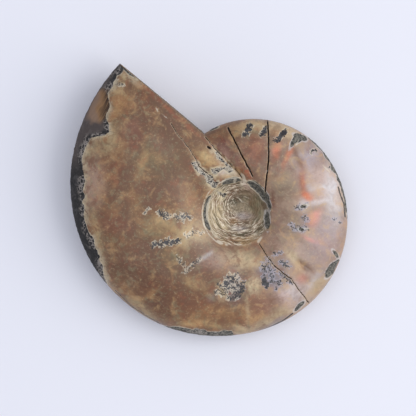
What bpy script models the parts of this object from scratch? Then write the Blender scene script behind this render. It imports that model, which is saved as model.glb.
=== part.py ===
"""Ammonite fossil: a coiled shell turned to stone, ground flat across its mouth and polished, in one piece.

Run it with blender --background --python part.py, or from Blender's text editor. Metres, +Z up.
The shell lies on its flank and grows clockwise seen from above, its mouth at the upper left. The form is
worked out in the coil's own frame, where the coil's axis is Z and the middle plane of the whorls is Z = 0.
It is then leaned into the pose in which it rests, and set down with the middle of its base at the origin.
Growth angles count in radians from the tip of the mouth, which is 0, back to -2 pi one turn earlier.
"""

import math

import bmesh
import bpy
import numpy as np

MM = 0.001

# The outline: a logarithmic spiral that swells and pinches a little as it goes
MOUTH_RADIUS = 61.4 * MM  # from the coil's axis to the tip of the mouth
TURN_GROWTH = 2.36  # how much larger each turn is than the one before
TIP_ANGLE = math.radians(130.1)  # direction of the tip, anticlockwise from +X
SWELLS = (  # share of the radius, growth angle of the middle in degrees, half-width in degrees
    (0.025, -50, 45),  # full just behind the mouth
    (-0.02, -140, 30),  # pinched opposite it
    (0.01, -280, 25),  # slightly full again, early in the turn
)

# The cut across the mouth: two straight runs in plan, which meet at the notch behind the mouth. Each is
# given by its distance from the coil's axis and the direction in which it lies.
NOTCH_RADIUS = 26.4 * MM
MOUTH_CUT = (10.67 * MM, math.radians(50.1))
INNER_CUT = (6.47 * MM, math.radians(40.5))

# The whorl in section: widest near the umbilicus, with flanks that close to a narrow rounded edge
HALF_THICKNESS = 0.215  # widest half-thickness as a share of the outline's radius
WIDEST = 0.27  # where that is, as a share of the way from the umbilicus to the edge
SHOULDER = 0.76  # half-thickness at the umbilicus, as a share of the widest
SHOULDER_POWER = 1.8
FLANK_POWER = 2.1
EDGE_POWER = 0.6

# The umbilicus: a round well, nearly filled by the worn inner turns
WELL_MIDDLE = (-1.0 * MM, -1.67 * MM)
WELL_RADIUS = 11.2 * MM
FLOOR_REACH = 0.82  # how far out the floor goes before the wall rises, as a share of the radius
FLOOR_RISE = (4.6 * MM, 1.9 * MM, math.radians(215))  # its rim's mean height, tilt and high side
FLOOR_MIDDLE = 2.4 * MM
FLOOR_POWER = 1.4
TURN_RIDGE = (0.4 * MM, 0.62, 0.12)  # height, place and half-width of the ridge of the inner turn

# Low ribs across the flank of the earlier half-turn, and a gentle unevenness over all of it
RIBS_PER_TURN = 24
RIB_HEIGHT = 0.1 * MM
RIB_SWEEP = 1.4  # how far a rib leans forward from the umbilicus to the edge, in ribs
RIBS_END = 0.5  # where they have faded out, in half-turns back from the mouth
UNEVEN_HEIGHT = 0.16 * MM
UNEVEN_LENGTHS = (26 * MM, 32 * MM)  # from crest to crest along X and along Y
THIN_EDGE = 0.5  # relief fades out where the section is thinner than this share of its widest

# Dents, placed as seen from above: middle x, middle y, half length, half width and depth in millimetres,
# and turn in degrees
UPPER_DENTS = (
    (-46.7, 32.3, 5.0, 2.6, 1.1, 52),  # hollow in the brown calcite by the edge
    (30.0, -21.7, 4.2, 1.6, 0.9, 39),  # chip in the edge
    (22.0, -20.3, 3.5, 1.3, 0.4, -43),  # furrow across the flank
    (-13.0, 14.0, 7.5, 1.5, 0.5, -56),  # crack filled with crystals, beside the umbilicus
)
LOWER_DENTS = (
    (-38.0, -18.0, 6.0, 2.6, 0.7, 118),  # worn patch by the edge
    (17.0, 21.0, 4.5, 2.0, 0.5, 35),  # worn patch on the earlier half-turn
    (-15.0, 40.0, 5.0, 1.6, 0.5, -40),  # scar near the mouth
)

# The resting pose: the lean about X and Y that lays the thick side flat, and the flat worn where it lies
LEAN = (math.radians(4.54), math.radians(1.38))
FLAT_DEPTH = 0.35 * MM
CUTTER_SIZE = 200 * MM

# Fineness of the mesh
STATIONS = 126
FLANK_ROWS = 15
EDGE_CROWDING = 0.85  # how much closer together the rows are at the edge, from 0 to 1
WELL_ROWS = (0.0, 0.3, 0.58, FLOOR_REACH, 0.91)
SETTLING_STEPS = 12  # rounds after which a point on both a station and a curve stays put
SHARP_ANGLE = math.radians(60)
SAME_POINT = 0.001 * MM

STONE_COLOUR = (0.30, 0.17, 0.10, 1.0)
STONE_ROUGHNESS = 0.28


def outline_radius(growth):
    """Distance from the coil's axis to the outer edge at a growth angle."""
    degrees = np.degrees(growth)
    swell = 1.0
    for share, middle, width in SWELLS:
        swell = swell + share * np.exp(-(((degrees - middle) / width) ** 2))
    return MOUTH_RADIUS * TURN_GROWTH ** (growth / math.tau) * swell


def cut_turn(radius):
    """How far clockwise of the tip the mouth's cut lies at a distance from the coil's axis."""
    outside = radius > NOTCH_RADIUS
    distance = np.where(outside, MOUTH_CUT[0], INNER_CUT[0])
    direction = np.where(outside, MOUTH_CUT[1], INNER_CUT[1])
    return TIP_ANGLE - direction - np.arccos(np.minimum(distance / radius, 1.0))


def well_rim(angle):
    """Distance from the coil's axis to the umbilicus's rim in a direction."""
    offset = math.hypot(*WELL_MIDDLE)
    turned = angle - math.atan2(WELL_MIDDLE[1], WELL_MIDDLE[0])
    return offset * np.cos(turned) + np.sqrt(WELL_RADIUS**2 - (offset * np.sin(turned)) ** 2)


def flank_share(reach):
    """Half-thickness as a share of the widest, for a reach of 0 at the umbilicus to 1 at the edge."""
    inward = np.clip((WIDEST - reach) / WIDEST, 0.0, 1.0)
    outward = np.clip((reach - WIDEST) / (1.0 - WIDEST), 0.0, 1.0)
    shoulder = 1.0 - (1.0 - SHOULDER) * inward**SHOULDER_POWER
    return shoulder * (1.0 - outward**FLANK_POWER) ** EDGE_POWER


def relief(x, y, dents):
    """Height of the unevenness and the dents at a place on the flank."""
    waves_x = np.sin(x / UNEVEN_LENGTHS[0] * math.tau + 1.0)
    waves_y = np.cos(y / UNEVEN_LENGTHS[1] * math.tau)
    height = UNEVEN_HEIGHT * waves_x * waves_y
    for middle_x, middle_y, length, width, depth, turn in dents:
        cosine, sine = math.cos(math.radians(turn)), math.sin(math.radians(turn))
        along = ((x - middle_x * MM) * cosine + (y - middle_y * MM) * sine) / (length * MM)
        across = ((y - middle_y * MM) * cosine - (x - middle_x * MM) * sine) / (width * MM)
        height = height - depth * MM * np.exp(-(along**2) - across**2)
    return height


def ribs(growth, reach):
    """Height of the ribs, which fade out towards the mouth, the umbilicus and the edge."""
    phase = growth / math.tau * RIBS_PER_TURN - RIB_SWEEP * reach**2
    fade = np.clip(-growth / math.pi - RIBS_END, 0.0, 1.0) * np.sin(np.clip(reach, 0.0, 1.0) * math.pi)
    return RIB_HEIGHT * fade * np.cos(phase * math.tau)


def flank_height(radius, angle, dents):
    """Height of the flank above the middle plane at a distance and direction from the coil's axis."""
    growth = TIP_ANGLE - angle
    rim = well_rim(angle)
    reach = (radius - rim) / (outline_radius(growth) - rim)
    share = flank_share(reach)
    bump = relief(radius * np.cos(angle), radius * np.sin(angle), dents) + ribs(growth, reach)
    half_thickness = HALF_THICKNESS * outline_radius(np.minimum(growth, 0.0))
    return half_thickness * share + bump * np.minimum(share / THIN_EDGE, 1.0)


def well_height(share, angle, rim_height):
    """Height inside the umbilicus, for a share of 0 at its middle to 1 at its rim."""
    mean, tilt, high_side = FLOOR_RISE
    climb = min(share / FLOOR_REACH, 1.0) ** FLOOR_POWER
    floor = (mean + tilt * np.cos(angle - high_side)) * climb + FLOOR_MIDDLE * (1.0 - climb)
    ridge_height, ridge_place, ridge_width = TURN_RIDGE
    floor = floor + ridge_height * math.exp(-(((share - ridge_place) / ridge_width) ** 2))
    wall = max(0.0, (share - FLOOR_REACH) / (1.0 - FLOOR_REACH))
    wall = wall * wall * (3.0 - 2.0 * wall)
    return floor * (1.0 - wall) + rim_height * wall


def side_rows(dents):
    """One side as rows of points, from the umbilicus's middle out to the edge. A row has a point per station.

    A station follows the line of the mouth's cut, turned back through the growth, so that the first and the
    last station lie along the same line one turn apart.
    """
    station = np.linspace(-math.tau, 0.0, STATIONS)
    edge = outline_radius(station)
    rim = np.full(STATIONS, WELL_RADIUS)
    for _ in range(SETTLING_STEPS):
        edge = outline_radius(station + cut_turn(edge))
        rim = well_rim(TIP_ANGLE - station - cut_turn(rim))
    rim_angle = TIP_ANGLE - station - cut_turn(rim)
    rim_height = flank_height(rim, rim_angle, dents)
    rows = []
    for share in WELL_ROWS:
        x = WELL_MIDDLE[0] + share * (rim * np.cos(rim_angle) - WELL_MIDDLE[0])
        y = WELL_MIDDLE[1] + share * (rim * np.sin(rim_angle) - WELL_MIDDLE[1])
        rows.append(np.column_stack((x, y, well_height(share, rim_angle, rim_height))))
    for step in np.linspace(0.0, 1.0, FLANK_ROWS):
        reach = (1.0 - EDGE_CROWDING) * step + EDGE_CROWDING * math.sin(step * math.pi / 2.0)
        radius = rim + reach * (edge - rim)
        angle = TIP_ANGLE - station - cut_turn(radius)
        height = flank_height(radius, angle, dents)
        rows.append(np.column_stack((radius * np.cos(angle), radius * np.sin(angle), height)))
    rows[-1][:, 2] = 0.0
    return rows


def add_faces_between(form, outer, inner):
    """A wall between two chains of points that run outward side by side, by way of the nearer next point."""
    i = 0
    j = 0
    while i < len(outer) - 1 or j < len(inner) - 1:
        inner_done = j == len(inner) - 1
        if inner_done or (i < len(outer) - 1 and outer[i + 1].co.xy.length <= inner[j + 1].co.xy.length):
            corners = (outer[i], outer[i + 1], inner[j])
            i += 1
        else:
            corners = (outer[i], inner[j + 1], inner[j])
            j += 1
        form.faces.new(corners)


def close_mouth(form, row_count):
    """Walls off the mouth: a step down each side of the earlier turn, and one flat face beyond its edge."""
    form.verts.ensure_lookup_table()
    first = [form.verts[row * STATIONS] for row in range(row_count)]
    last = [form.verts[row * STATIONS + STATIONS - 1] for row in range(row_count)]
    edge_row = row_count // 2
    floor_row = WELL_ROWS.index(FLOOR_REACH)
    side_length = edge_row + 1 - floor_row
    sides = []
    for direction, start in ((1, floor_row), (-1, row_count - 1 - floor_row)):
        picks = [start + direction * step for step in range(side_length)]
        outer = [last[row] for row in picks]
        inner = [first[row] for row in picks]
        beside = sum(point.co.xy.length <= inner[-1].co.xy.length for point in outer) + 1
        add_faces_between(form, outer[:beside], inner)
        sides.append(outer[beside - 1 :])
    upper, lower = sides
    form.faces.new((upper[0], lower[0], first[edge_row]))
    for step in range(len(upper) - 2):
        form.faces.new((upper[step], upper[step + 1], lower[step + 1], lower[step]))
    form.faces.new((upper[-2], upper[-1], lower[-2]))


def make_stone_material():
    material = bpy.data.materials.new("polished_fossil")
    material.use_nodes = True
    shader = material.node_tree.nodes["Principled BSDF"]
    shader.inputs["Base Color"].default_value = STONE_COLOUR
    shader.inputs["Roughness"].default_value = STONE_ROUGHNESS
    shader.inputs["Metallic"].default_value = 0.0
    return material


def make_collection(name):
    collection = bpy.data.collections.new(name)
    bpy.context.scene.collection.children.link(collection)
    return collection


def move_to(collection, thing):
    for holder in list(thing.users_collection):
        holder.objects.unlink(thing)
    collection.objects.link(thing)


def make_ammonite():
    """The fossil: a grid wrapped from the upper umbilicus over the edge to the lower, closed at the mouth."""
    upper = side_rows(UPPER_DENTS)
    lower = [row * (1.0, 1.0, -1.0) for row in side_rows(LOWER_DENTS)]
    rows = upper + lower[-2::-1]
    bpy.ops.mesh.primitive_grid_add(x_subdivisions=STATIONS - 1, y_subdivisions=len(rows) - 1)
    ammonite = bpy.context.object
    ammonite.name = "ammonite"
    ammonite.data.name = "ammonite"
    ammonite.data.vertices.foreach_set("co", np.array(rows).ravel())
    form = bmesh.new()
    form.from_mesh(ammonite.data)
    close_mouth(form, len(rows))
    bmesh.ops.remove_doubles(form, verts=form.verts, dist=SAME_POINT)
    bmesh.ops.recalc_face_normals(form, faces=form.faces)
    form.to_mesh(ammonite.data)
    form.free()
    bpy.ops.object.shade_smooth_by_angle(angle=SHARP_ANGLE)
    ammonite.data.materials.append(make_stone_material())
    return ammonite


def set_down(ammonite):
    """Leans the fossil into its resting pose, its flat at Z = 0 and the middle of its base at the origin."""
    ammonite.rotation_euler = (LEAN[0], LEAN[1], 0.0)
    bpy.context.view_layer.update()
    points = [ammonite.matrix_world @ vertex.co for vertex in ammonite.data.vertices]
    low = [min(point[axis] for point in points) for axis in range(3)]
    high = [max(point[axis] for point in points) for axis in range(3)]
    ammonite.location = (-(low[0] + high[0]) / 2.0, -(low[1] + high[1]) / 2.0, -low[2] - FLAT_DEPTH)
    bpy.context.view_layer.update()


def grind_flat(ammonite, cutters):
    """Takes off what lies below Z = 0, which leaves the flat that the fossil rests on."""
    bpy.ops.mesh.primitive_cube_add(size=CUTTER_SIZE, location=(0.0, 0.0, -CUTTER_SIZE / 2.0))
    cutter = bpy.context.object
    cutter.name = "rest_flat_cutter"
    cutter.display_type = "WIRE"
    cutter.hide_render = True
    move_to(cutters, cutter)
    flat = ammonite.modifiers.new("rest_flat", "BOOLEAN")
    flat.operation = "DIFFERENCE"
    flat.solver = "EXACT"
    flat.object = cutter


for old in list(bpy.data.objects):
    bpy.data.objects.remove(old, do_unlink=True)

fossil = make_collection("ammonite_fossil")
cutters = make_collection("cutters")
cutters.hide_render = True

ammonite = make_ammonite()
move_to(fossil, ammonite)
set_down(ammonite)
grind_flat(ammonite, cutters)
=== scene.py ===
"""Looks of a polished ammonite fossil lying on its flank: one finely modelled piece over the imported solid.

The fossil is worked out in the coil's own frame, in millimetres: the coil's axis is Z, the middle plane of
the whorls is Z = 0, and growth angles count from the tip of the mouth, which is 0, back to -2 pi one turn
earlier. At the end it is leaned into its resting pose, in metres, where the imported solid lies.
"""

import math

import bmesh
import bpy
import numpy as np
from mathutils import Euler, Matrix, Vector


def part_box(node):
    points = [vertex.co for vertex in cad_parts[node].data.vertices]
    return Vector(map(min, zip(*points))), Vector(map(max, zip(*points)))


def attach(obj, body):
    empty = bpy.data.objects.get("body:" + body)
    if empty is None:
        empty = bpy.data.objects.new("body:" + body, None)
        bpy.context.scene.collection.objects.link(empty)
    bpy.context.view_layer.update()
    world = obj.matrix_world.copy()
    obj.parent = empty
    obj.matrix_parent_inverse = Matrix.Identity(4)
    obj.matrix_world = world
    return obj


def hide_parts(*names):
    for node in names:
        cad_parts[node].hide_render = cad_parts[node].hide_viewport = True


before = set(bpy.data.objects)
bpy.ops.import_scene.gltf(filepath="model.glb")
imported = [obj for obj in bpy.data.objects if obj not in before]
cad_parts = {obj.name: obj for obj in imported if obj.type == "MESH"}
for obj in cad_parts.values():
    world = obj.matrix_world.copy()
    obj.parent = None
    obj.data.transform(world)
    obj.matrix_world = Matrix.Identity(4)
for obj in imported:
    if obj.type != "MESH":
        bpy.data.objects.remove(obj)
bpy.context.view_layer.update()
bpy.ops.object.select_all(action="DESELECT")

# ---------------------------------------------------------------------------------------------------------
# The fossil's form. The real piece is a coiled shell of calcite turned to stone, its chambers filled with
# mudstone and calcite. It is ground flat across its mouth, and both flanks are polished. It is made as a grid
# of growth lines and rows, wrapped from the upper umbilicus over the edge to the lower one.

MOUTH_RADIUS = 61.4  # from the coil's axis to the tip of the mouth
TURN_GROWTH = 2.36  # how much larger each turn is than the one before
TIP_ANGLE = math.radians(130.1)  # direction of the tip, anticlockwise from +X
SWELLS = (  # share of the radius, growth angle of the middle in degrees, half-width in degrees
    (0.025, -50, 45),  # full just behind the mouth
    (-0.02, -140, 30),  # pinched opposite it
    (0.01, -280, 25),  # slightly full again, early in the turn
)
NOTCH_RADIUS = 26.4  # where the two straight runs of the mouth's cut meet
MOUTH_CUT = (10.67, math.radians(50.1))  # distance from the coil's axis, and direction
INNER_CUT = (6.47, math.radians(40.5))
HALF_THICKNESS = 0.215  # widest half-thickness as a share of the outline's radius
WIDEST = 0.27  # reach at which the whorl is thickest, from 0 at the umbilicus to 1 at the edge
SHOULDER = 0.76  # thickness at the umbilicus's rim, as a share of the thickest
SHOULDER_POWER = 1.8
FLANK_POWER = 2.1
EDGE_POWER = 0.6
WELL_MIDDLE = (-1.0, -1.67)  # the umbilicus
WELL_RADIUS = 11.2
FLOOR_REACH = 0.82  # share of its radius inside its wall
FLOOR_RISE = (4.6, 1.9, math.radians(215))  # its floor: height at the wall, tilt, high side
FLOOR_MIDDLE = 2.4
FLOOR_POWER = 1.4
TURN_RIDGE = (0.4, 0.62, 0.12)  # height, place and width of the inner turn that shows in it
RIBS_PER_TURN = 24
RIB_HEIGHT = 0.1
RIB_SWEEP = 1.4  # how far the ribs sweep back towards the edge, in ribs
RIBS_END = 0.5  # half-turns behind the mouth where they begin
UNEVEN_HEIGHT = 0.16  # slow waves over the flank
UNEVEN_LENGTHS = (26.0, 32.0)
UNEVEN_START = 1.0
THIN_EDGE = 0.5  # share of the thickness below which relief fades out
UPPER_DENTS = (  # middle x, middle y, half length, half width, depth, and turn in degrees
    (-46.7, 32.3, 5.0, 2.6, 1.1, 52),
    (30.0, -21.7, 4.2, 1.6, 0.9, 39),
    (22.0, -20.3, 3.5, 1.3, 0.4, -43),
    (-13.0, 14.0, 7.5, 1.5, 0.5, -56),
)
LOWER_DENTS = (
    (-38.0, -18.0, 6.0, 2.6, 0.7, 118),
    (17.0, 21.0, 4.5, 2.0, 0.5, 35),
    (-15.0, 40.0, 5.0, 1.6, 0.5, -40),
)
STATIONS = 400  # growth lines in the turn
UPPER_FLANK_ROWS = 56
LOWER_FLANK_ROWS = 36
EDGE_CROWDING = 0.62  # how much closer the rows lie towards the edge
UPPER_WELL_ROWS = 24
LOWER_WELL_ROWS = 10
SETTLING_STEPS = 12  # rounds in which the outline and the cut settle on each other
SAME_POINT = 0.001
MOUTH_STRIP_REACH = 12.0  # the mouth's face is cut into strips, from this far below to this far above
MOUTH_STRIP = 0.8


def outline_radius(growth):
    """Distance from the coil's axis to the outer edge at a growth angle."""
    degrees = np.degrees(growth)
    swell = 1.0
    for share, middle, width in SWELLS:
        swell = swell + share * np.exp(-(((degrees - middle) / width) ** 2))
    return MOUTH_RADIUS * TURN_GROWTH ** (growth / math.tau) * swell


def cut_turn(radius):
    """How far clockwise of the tip the mouth's cut lies at a distance from the coil's axis."""
    outside = radius > NOTCH_RADIUS
    distance = np.where(outside, MOUTH_CUT[0], INNER_CUT[0])
    direction = np.where(outside, MOUTH_CUT[1], INNER_CUT[1])
    return TIP_ANGLE - direction - np.arccos(np.minimum(distance / radius, 1.0))


def well_rim(angle):
    """Distance from the coil's axis to the umbilicus's rim in a direction."""
    offset = math.hypot(*WELL_MIDDLE)
    turned = angle - math.atan2(WELL_MIDDLE[1], WELL_MIDDLE[0])
    return offset * np.cos(turned) + np.sqrt(WELL_RADIUS**2 - (offset * np.sin(turned)) ** 2)


def flank_share(reach):
    """Half-thickness as a share of the widest, for a reach of 0 at the umbilicus to 1 at the edge."""
    inward = np.clip((WIDEST - reach) / WIDEST, 0.0, 1.0)
    outward = np.clip((reach - WIDEST) / (1.0 - WIDEST), 0.0, 1.0)
    shoulder = 1.0 - (1.0 - SHOULDER) * inward**SHOULDER_POWER
    return shoulder * (1.0 - outward**FLANK_POWER) ** EDGE_POWER


def relief(x, y, dents):
    """Height of the unevenness and the dents at a place on the flank."""
    waves_x = np.sin(x / UNEVEN_LENGTHS[0] * math.tau + UNEVEN_START)
    waves_y = np.cos(y / UNEVEN_LENGTHS[1] * math.tau)
    height = UNEVEN_HEIGHT * waves_x * waves_y
    for middle_x, middle_y, length, width, depth, turn in dents:
        cosine, sine = math.cos(math.radians(turn)), math.sin(math.radians(turn))
        along = ((x - middle_x) * cosine + (y - middle_y) * sine) / length
        across = ((y - middle_y) * cosine - (x - middle_x) * sine) / width
        height = height - depth * np.exp(-(along**2) - across**2)
    return height


def ribs(growth, reach):
    """Height of the ribs, which fade out towards the mouth, the umbilicus and the edge."""
    phase = growth / math.tau * RIBS_PER_TURN - RIB_SWEEP * reach**2
    fade = np.clip(-growth / math.pi - RIBS_END, 0.0, 1.0) * np.sin(np.clip(reach, 0.0, 1.0) * math.pi)
    return RIB_HEIGHT * fade * np.cos(phase * math.tau)


def flank_height(radius, angle, dents):
    """Height of the flank above the middle plane at a distance and direction from the coil's axis."""
    growth = TIP_ANGLE - angle
    rim = well_rim(angle)
    reach = (radius - rim) / (outline_radius(growth) - rim)
    share = flank_share(reach)
    bump = relief(radius * np.cos(angle), radius * np.sin(angle), dents) + ribs(growth, reach)
    half_thickness = HALF_THICKNESS * outline_radius(np.minimum(growth, 0.0))
    return half_thickness * share + bump * np.minimum(share / THIN_EDGE, 1.0)


def well_height(share, angle, rim_height):
    """Height inside the umbilicus, for a share of 0 at its middle to 1 at its rim."""
    mean, tilt, high_side = FLOOR_RISE
    climb = min(share / FLOOR_REACH, 1.0) ** FLOOR_POWER
    floor = (mean + tilt * np.cos(angle - high_side)) * climb + FLOOR_MIDDLE * (1.0 - climb)
    ridge_height, ridge_place, ridge_width = TURN_RIDGE
    floor = floor + ridge_height * math.exp(-(((share - ridge_place) / ridge_width) ** 2))
    wall = max(0.0, (share - FLOOR_REACH) / (1.0 - FLOOR_REACH))
    wall = wall * wall * (3.0 - 2.0 * wall)
    return floor * (1.0 - wall) + rim_height * wall


def side_rows(dents, well_rows, flank_rows):
    """One side as rows of (x, y, z, growth), from the umbilicus's middle out to the edge."""
    smallest = 1.0 / TURN_GROWTH
    size = smallest + np.linspace(0.0, 1.0, STATIONS) * (1.0 - smallest)
    station = np.log(size) / math.log(TURN_GROWTH) * math.tau
    edge = outline_radius(station)
    rim = np.full(STATIONS, WELL_RADIUS)
    for _ in range(SETTLING_STEPS):
        edge = outline_radius(station + cut_turn(edge))
        rim = well_rim(TIP_ANGLE - station - cut_turn(rim))
    rim_angle = TIP_ANGLE - station - cut_turn(rim)
    rim_height = flank_height(rim, rim_angle, dents)
    rows = []
    for share in np.linspace(0.0, 1.0, well_rows, endpoint=False):
        x = WELL_MIDDLE[0] + share * (rim * np.cos(rim_angle) - WELL_MIDDLE[0])
        y = WELL_MIDDLE[1] + share * (rim * np.sin(rim_angle) - WELL_MIDDLE[1])
        height = well_height(share, rim_angle, rim_height)
        rows.append(np.column_stack((x, y, height, TIP_ANGLE - rim_angle)))
    for step in np.linspace(0.0, 1.0, flank_rows):
        reach = (1.0 - EDGE_CROWDING) * step + EDGE_CROWDING * math.sin(step * math.pi / 2.0)
        radius = rim + reach * (edge - rim)
        angle = TIP_ANGLE - station - cut_turn(radius)
        height = flank_height(radius, angle, dents)
        x = radius * np.cos(angle)
        y = radius * np.sin(angle)
        rows.append(np.column_stack((x, y, height, TIP_ANGLE - angle)))
    rows[-1][:, 2] = 0.0
    return rows


upper_rows = side_rows(UPPER_DENTS, UPPER_WELL_ROWS, UPPER_FLANK_ROWS)
lower_rows = side_rows(LOWER_DENTS, LOWER_WELL_ROWS, LOWER_FLANK_ROWS)
lower_rows = [row * (1.0, 1.0, -1.0, 1.0) for row in lower_rows]
grid = np.array(upper_rows + lower_rows[-2::-1])
row_count = len(grid)
bpy.ops.mesh.primitive_grid_add(x_subdivisions=STATIONS - 1, y_subdivisions=row_count - 1)
fossil = bpy.context.object
fossil.name = "fossil"
fossil.data.name = "fossil"
fossil.data.vertices.foreach_set("co", grid[:, :, :3].ravel())
growth_layer = fossil.data.attributes.new("growth", "FLOAT", "POINT")
growth_layer.data.foreach_set("value", grid[:, :, 3].ravel().astype(np.float32))


def add_faces_between(form, outer, inner):
    """A wall between two chains of points that run outward side by side, by way of the nearer next point."""
    made = []
    i = 0
    j = 0
    while i < len(outer) - 1 or j < len(inner) - 1:
        inner_done = j == len(inner) - 1
        if inner_done or (i < len(outer) - 1 and outer[i + 1].co.xy.length <= inner[j + 1].co.xy.length):
            corners = (outer[i], outer[i + 1], inner[j])
            i += 1
        else:
            corners = (outer[i], inner[j + 1], inner[j])
            j += 1
        made.append(form.faces.new(corners))
    return made


def close_mouth(form):
    """Walls off the mouth: a step down each side of the earlier turn, and one flat face beyond its edge."""
    form.verts.ensure_lookup_table()
    first = [form.verts[row * STATIONS] for row in range(row_count)]
    last = [form.verts[row * STATIONS + STATIONS - 1] for row in range(row_count)]
    edge_row = len(upper_rows) - 1
    wall = []
    sides = []
    upper_floor = int(FLOOR_REACH * UPPER_WELL_ROWS)
    lower_floor = row_count - 1 - int(FLOOR_REACH * LOWER_WELL_ROWS)
    for chain in (range(upper_floor, edge_row + 1), range(lower_floor, edge_row - 1, -1)):
        outer = [last[row] for row in chain]
        inner = [first[row] for row in chain]
        beside = sum(point.co.xy.length <= inner[-1].co.xy.length for point in outer) + 1
        wall += add_faces_between(form, outer[:beside], inner)
        sides.append(outer[beside - 1 :])
    upper, lower = sides
    wall.append(form.faces.new((upper[0], lower[0], first[edge_row])))
    wall += add_faces_between(form, upper[:-1], lower[:-1])
    wall.append(form.faces.new((upper[-2], upper[-1], lower[-2])))
    return wall


form = bmesh.new()
form.from_mesh(fossil.data)
mouth = form.faces.layers.int.new("mouth")
for face in close_mouth(form):
    face[mouth] = 1
bmesh.ops.remove_doubles(form, verts=form.verts, dist=SAME_POINT)
bmesh.ops.recalc_face_normals(form, faces=form.faces)
for level in np.arange(-MOUTH_STRIP_REACH, MOUTH_STRIP_REACH, MOUTH_STRIP):
    walls = [face for face in form.faces if face[mouth]]
    corners = {part for face in walls for part in (*face.verts, *face.edges)}
    bmesh.ops.bisect_plane(form, geom=walls + list(corners), plane_co=(0, 0, level), plane_no=(0, 0, 1))


# ---------------------------------------------------------------------------------------------------------
# The markings. Cracks healed with dark calcite, mudstone laid bare where the shell has worn off, crusts of
# small crystals, and the sutures, where the walls between the chambers met the shell. Places are in
# millimetres right of and above the coil's axis, and turns in degrees anticlockwise.

LEFT_CRACK = ((-4.2, 26.2), (-0.5, 18.7), (3.9, 10.3))
RIGHT_CRACK = ((9, 28.5), (9.2, 17), (8, 5))
LOWER_CRACK = (
    (6, -12), (8.4, -15.4), (10.6, -18.7), (13.6, -21.3), (16.6, -23.5), (19, -26.8), (23.2, -32.5),
)
OUTER_CRACK = ((-23, 28), (-21, 24.3), (-18, 21), (-15.5, 17.3), (-14, 14), (-11, 11.5))
LIP_CRACK = ((-12, 23.5), (-8.5, 19.5), (-2, 12.7), (0.3, 9.8))
BOTTOM_LINE = ((5.3, -42.2), (10.3, -40.3), (14.3, -38.3), (17.5, -35.8))
LEFT_EDGE_CRACK = ((-41.5, -28), (-36, -33.5), (-26.5, -39.5))
RIGHT_EDGE_CRACK = ((32.5, 6.5), (34.5, 0.5), (35, -3.5))
HOLE = ((-11, 20.3), (-10.4, 19.9))
CRACKS = (  # chain of points, half-width, depth
    (LEFT_CRACK, 0.25, 0.6),
    (RIGHT_CRACK, 0.25, 0.6),
    (LOWER_CRACK, 0.15, 0.4),
    (OUTER_CRACK, 0.13, 0.3),
    (LIP_CRACK, 0.12, 0.3),
    (LEFT_EDGE_CRACK, 0.13, 0.2),
    (BOTTOM_LINE, 0.28, 0.15),
    (RIGHT_EDGE_CRACK, 0.22, 0.35),
    (HOLE, 0.42, 0.8),
)
BARE_EDGE = (  # direction, and how far in from the edge the shell has worn off
    (0, 0.5), (20, 0.7), (40, 0.5), (46, 0), (104, 0), (106, 0.5), (110, 0.5), (112, 0), (126, 0),
    (128, 2.2), (133, 2), (137, 3), (139, 2.5), (141, 4.5), (143, 6), (146, 6.5), (148, 8.5), (150, 9.5),
    (152, 8.5), (155, 4.5), (161, 3.3), (163, 3.2), (165, 4.2), (169, 4.8), (175, 4.5), (185, 3.5),
    (193, 4.2), (201, 3.2), (207, 1.5), (211, 0), (237, 0), (241, 1.2), (247, 2), (266, 2.2),
    (267.5, 0), (350, 0), (360, 0.4),
)
BARE_SPOTS = (  # middle x, middle y, half length, half width, turn, depth
    (19.8, 23, 2.4, 1.0, -22, 0.35),
    (17.4, 21.7, 2.5, 0.7, 62, 0.3),
    (19, 22.2, 1.8, 1.0, 20, 0.35),
    (-36.8, 44.7, 3.0, 0.8, -41, 0.15),
    (29.8, -21.4, 2.9, 1.2, 66, 0.35),
    (31, -19.3, 2.0, 0.7, 35, 0.35),
    (31.3, -20.6, 3.2, 1.1, 56, 0.35),
    (31.7, -15.8, 1.5, 0.5, -52, 0.35),
    (19.6, -33.2, 2.2, 0.7, 46, 0.2),
    (20.6, 0.5, 1.0, 0.55, 14, 0.5),
    (19.9, -7.1, 1.0, 0.6, -8, 0.5),
    (8.8, -4.4, 2.7, 0.85, 92, 0.45),
)
BARE_RINGS = (  # distance from the umbilicus's middle, first and last direction, half-width
    (10.4, 26, 62, 1.25),
    (10.7, 10, 26, 0.5),
    (10.9, 94, 110, 1.1),
    (10.7, 152, 208, 0.7),
)
BARE_RING_DEPTH = 0.3
FURROW = (21.2, -19.5, 3.2, 1.1, -38)  # a healed bite: middle x, middle y, half length, half width, turn
FURROW_DEPTH = 0.55
PALE_RINGS = (
    (10.1, 140, 235, 0.2),
    (11.8, 140, 235, 0.16),
    (11.7, 80, 126, 0.2),
    (11.2, 40, 70, 0.12),
)
PALE_CHIPS_AND_HIGHLIGHTS = (  # middle x, middle y, half length, half width, turn
    (0.9, 9.4, 2.1, 0.7, -68),
    (-2, 8.8, 0.9, 0.5, 90),
    (-7, -11.4, 1.1, 0.5, -30),
    (-4.7, -12.3, 0.6, 0.25, -25),
    (-0.7, -12.3, 0.7, 0.2, 10),
    (6.2, -10.7, 1.4, 0.4, 52),
    (-27.7, 32.5, 0.9, 0.3, -60),
    (-25, 30.2, 1.0, 0.25, -35),
    (18.7, 21.2, 1.7, 0.25, 55),
    (21.5, 0.9, 1.4, 0.3, -5),
    (21.4, -6.9, 1.2, 0.25, -8),
    (21.5, -0.3, 0.3, 0.2, 0),
    (21.2, -7.9, 0.35, 0.2, 0),
    (28.5, 12.5, 1.6, 0.3, -45),
    # Painted highlights: thin pale strokes on the lit edges of the umbilicus's flakes
    (-1.2, 3.1, 0.9, 0.1, -30),
    (0, 2.2, 1.1, 0.12, -45),
    (1.9, 1.2, 0.9, 0.1, -35),
    (-2.2, 1.6, 0.7, 0.08, -60),
    (1.6, 3.2, 0.8, 0.08, -20),
)
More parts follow.
